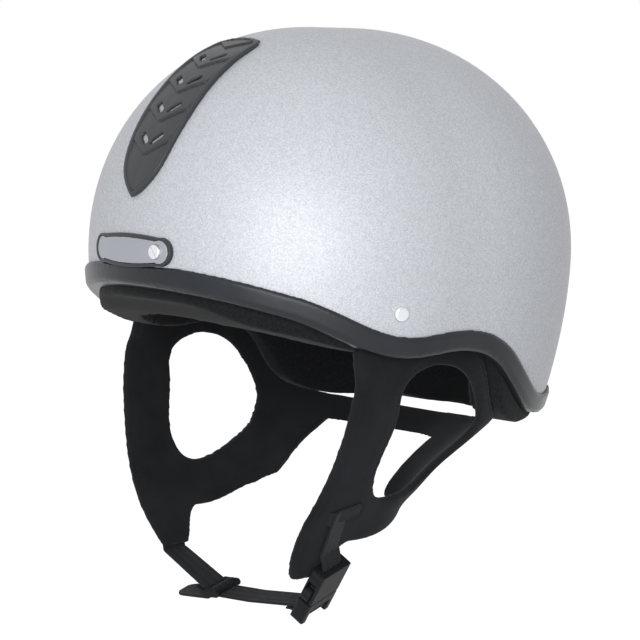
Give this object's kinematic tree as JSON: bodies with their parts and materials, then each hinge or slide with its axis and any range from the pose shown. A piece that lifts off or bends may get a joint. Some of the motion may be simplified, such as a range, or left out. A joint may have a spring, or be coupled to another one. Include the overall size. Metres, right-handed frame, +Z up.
{
  "type": "jockey skull cap helmet",
  "caption": "Riding skull cap: hard shell with rubber trim, foam liner, front vent and badge plate, padded side harness and a chin strap with side-release buckle.",
  "frame": {"origin": "centre of the dome, on the level where the shell is widest, which is where the head is centred", "axes": "+Z up toward the crown, front of the cap toward -Y, wearer's left toward +X"},
  "size_m": [0.238, 0.2745, 0.3097],
  "materials": {
    "shell_paint": "fine orange-peel silver-grey paint on a moulded shell",
    "trim_rubber": "soft satin",
    "foam": "expanded bead foam",
    "liner_cloth": "soft black lining cloth",
    "harness_suede": "black suede-like microfibre",
    "vent_plastic": "satin moulded",
    "badge_rim": "satin moulded",
    "badge_metal": "satin, bare",
    "stud_metal": "polished",
    "rivet_metal": "polished dome",
    "webbing": "fine polyester weave",
    "buckle_plastic": "moulded, slight gloss"
  },
  "bodies": {
    "helmet": {"outer_shell": "shell_paint", "edge_trim": "trim_rubber", "impact_liner": "foam", "liner_cover": "liner_cloth", "headband_pad": "liner_cloth", "crown_pad": "liner_cloth", "vent_cover": "vent_plastic", "badge_surround": "badge_rim", "badge_plate": "badge_metal", "badge_stud": "stud_metal", "side_rivets": "rivet_metal", "rivet_washers": "rivet_metal", "left_harness": "harness_suede", "right_harness": "harness_suede", "nape_strap": "harness_suede", "left_webbing": "webbing", "stitched_patch": "webbing", "buckle_socket": "buckle_plastic", "chin_strap": "webbing", "right_webbing": "webbing"},
    "tongue": {"buckle_tongue": "buckle_plastic"},
    "front_arm": {"front_release_arm": "buckle_plastic"},
    "rear_arm": {"rear_release_arm": "buckle_plastic"},
    "slider": {"strap_slider": "buckle_plastic"}
  },
  "joints": [
    {"name": "buckle_release", "type": "slide", "parent": "helmet", "child": "tongue", "axis": [-0.6117, 0.0665, -0.7883], "range_m": [0, 0.018], "deforming": ["chin_strap"]},
    {"name": "front_arm_press", "type": "hinge", "parent": "tongue", "child": "front_arm", "pos_m": [0.05396, -0.06, -0.17656], "axis": [-0.7689, -0.2842, 0.5727], "range_deg": [0, 8], "stiffness_Nm_per_rad": 0.2},
    {"name": "rear_arm_press", "type": "hinge", "parent": "tongue", "child": "rear_arm", "pos_m": [0.05084, -0.04393, -0.17278], "axis": [0.7689, 0.2842, -0.5727], "range_deg": [0, 8], "stiffness_Nm_per_rad": 0.2},
    {"name": "strap_adjust", "type": "slide", "parent": "helmet", "child": "slider", "axis": [0.9825, 0.1778, 0.0561], "range_m": [0, 0.014], "deforming": ["right_webbing"]}
  ]
}
